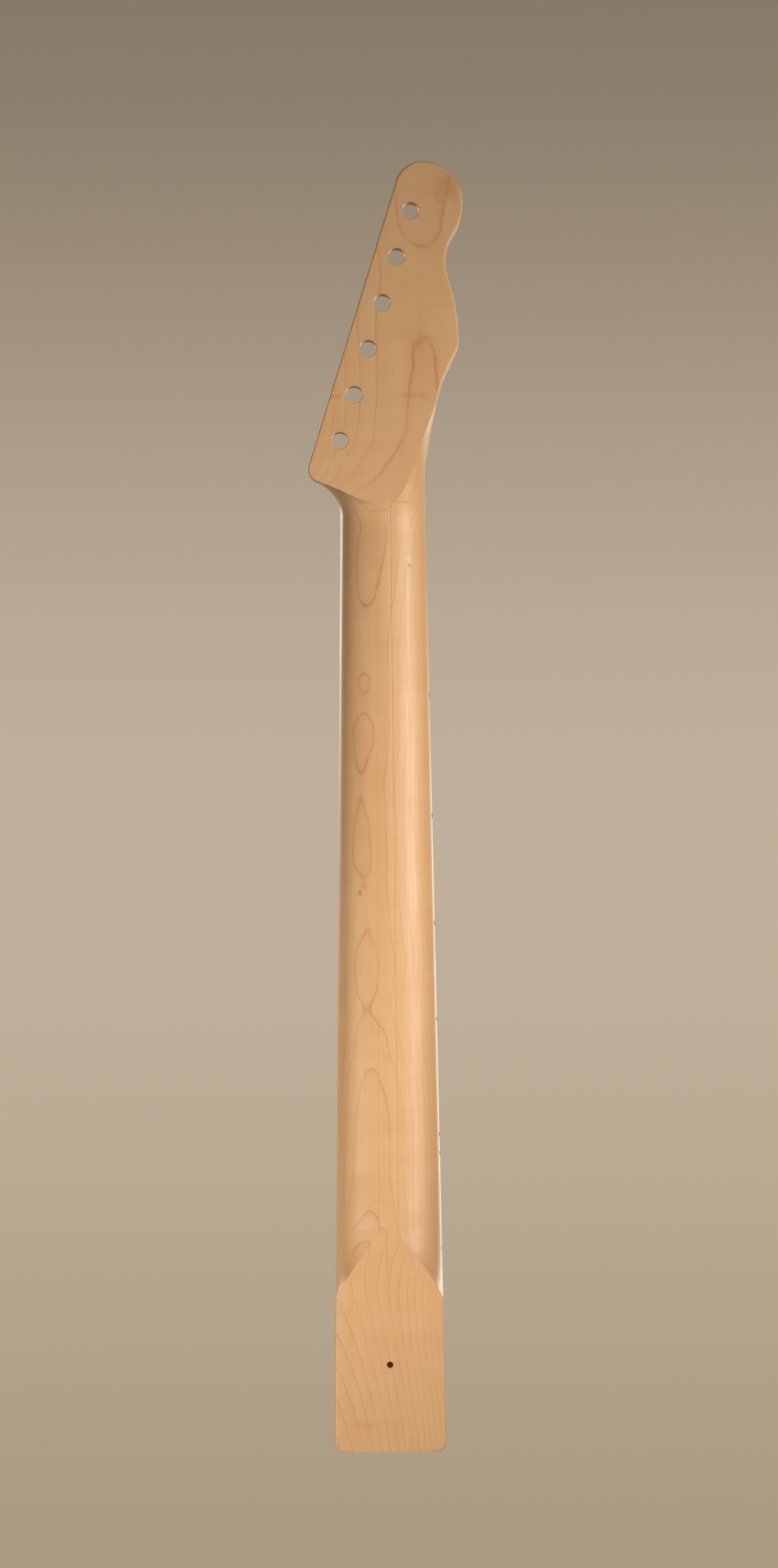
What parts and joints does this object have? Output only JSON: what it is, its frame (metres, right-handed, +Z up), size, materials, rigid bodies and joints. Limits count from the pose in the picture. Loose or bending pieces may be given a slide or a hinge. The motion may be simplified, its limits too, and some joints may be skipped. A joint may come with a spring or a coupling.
{
  "type": "guitar neck",
  "caption": "Bolt-on electric guitar neck: maple blank with a reversed in-line headstock, glued radiused fingerboard, frets, nut, position dots and adjustable truss rod.",
  "frame": {"origin": "centre of the usual four-screw pattern on the flat back of the heel, 38.1 mm from the heel's end", "axes": "+Z up the neck to the headstock tip, -Y out of the back of the neck, +Y out of the fingerboard, +X to the bass side with the side dots"},
  "size_m": [0.0793, 0.027, 0.6497],
  "materials": {
    "neck_maple": "bare satin hard maple, flat-sawn",
    "board_maple": "satin maple fingerboard",
    "bone": null,
    "fretwire": "polished nickel silver",
    "black_dot": "black plastic sanded flush",
    "rod_steel": "drawn steel, threaded at the ends",
    "blackened_steel": "black oxide",
    "rod_brass": "milled brass"
  },
  "bodies": {
    "neck": {"neck_blank": "neck_maple", "fretboard": "board_maple", "nut": "bone", "fret_01": "fretwire", "fret_02": "fretwire", "fret_03": "fretwire", "fret_04": "fretwire", "fret_05": "fretwire", "fret_06": "fretwire", "fret_07": "fretwire", "fret_08": "fretwire", "fret_09": "fretwire", "fret_10": "fretwire", "fret_11": "fretwire", "fret_12": "fretwire", "fret_13": "fretwire", "fret_14": "fretwire", "fret_15": "fretwire", "fret_16": "fretwire", "fret_17": "fretwire", "fret_18": "fretwire", "fret_19": "fretwire", "fret_20": "fretwire", "fret_21": "fretwire", "face_dot_03": "black_dot", "face_dot_05": "black_dot", "face_dot_07": "black_dot", "face_dot_09": "black_dot", "face_dot_12_a": "black_dot", "face_dot_12_b": "black_dot", "face_dot_15": "black_dot", "face_dot_17": "black_dot", "face_dot_19": "black_dot", "face_dot_21": "black_dot", "side_dot_03": "black_dot", "side_dot_05": "black_dot", "side_dot_07": "black_dot", "side_dot_09": "black_dot", "side_dot_12_a": "black_dot", "side_dot_12_b": "black_dot", "side_dot_15": "black_dot", "side_dot_17": "black_dot", "side_dot_19": "black_dot", "side_dot_21": "black_dot", "truss_rod_bar": "rod_steel"},
    "rod": {"truss_rod": "rod_steel", "truss_rod_nut": "blackened_steel"},
    "head_block": {"truss_block_head": "rod_brass"},
    "heel_block": {"truss_block_heel": "rod_brass"}
  },
  "joints": [
    {"name": "rod_turn", "type": "hinge", "parent": "neck", "child": "rod", "pos_m": [0, 0.01535, 0.42994], "axis": [0, 0, 1], "range_deg": [-360, 360]},
    {"name": "head_block_slide", "type": "slide", "parent": "neck", "child": "head_block", "axis": [0, 0, 1], "range_m": [-0.00079, 0.00079]},
    {"name": "heel_block_slide", "type": "slide", "parent": "neck", "child": "heel_block", "axis": [0, 0, 1], "range_m": [-0.00079, 0.00079]}
  ],
  "couplings": [
    {"joint": "head_block_slide", "follows": "rod_turn", "m_per_rad": -0.00012636},
    {"joint": "heel_block_slide", "follows": "rod_turn", "m_per_rad": 0.00012636}
  ]
}
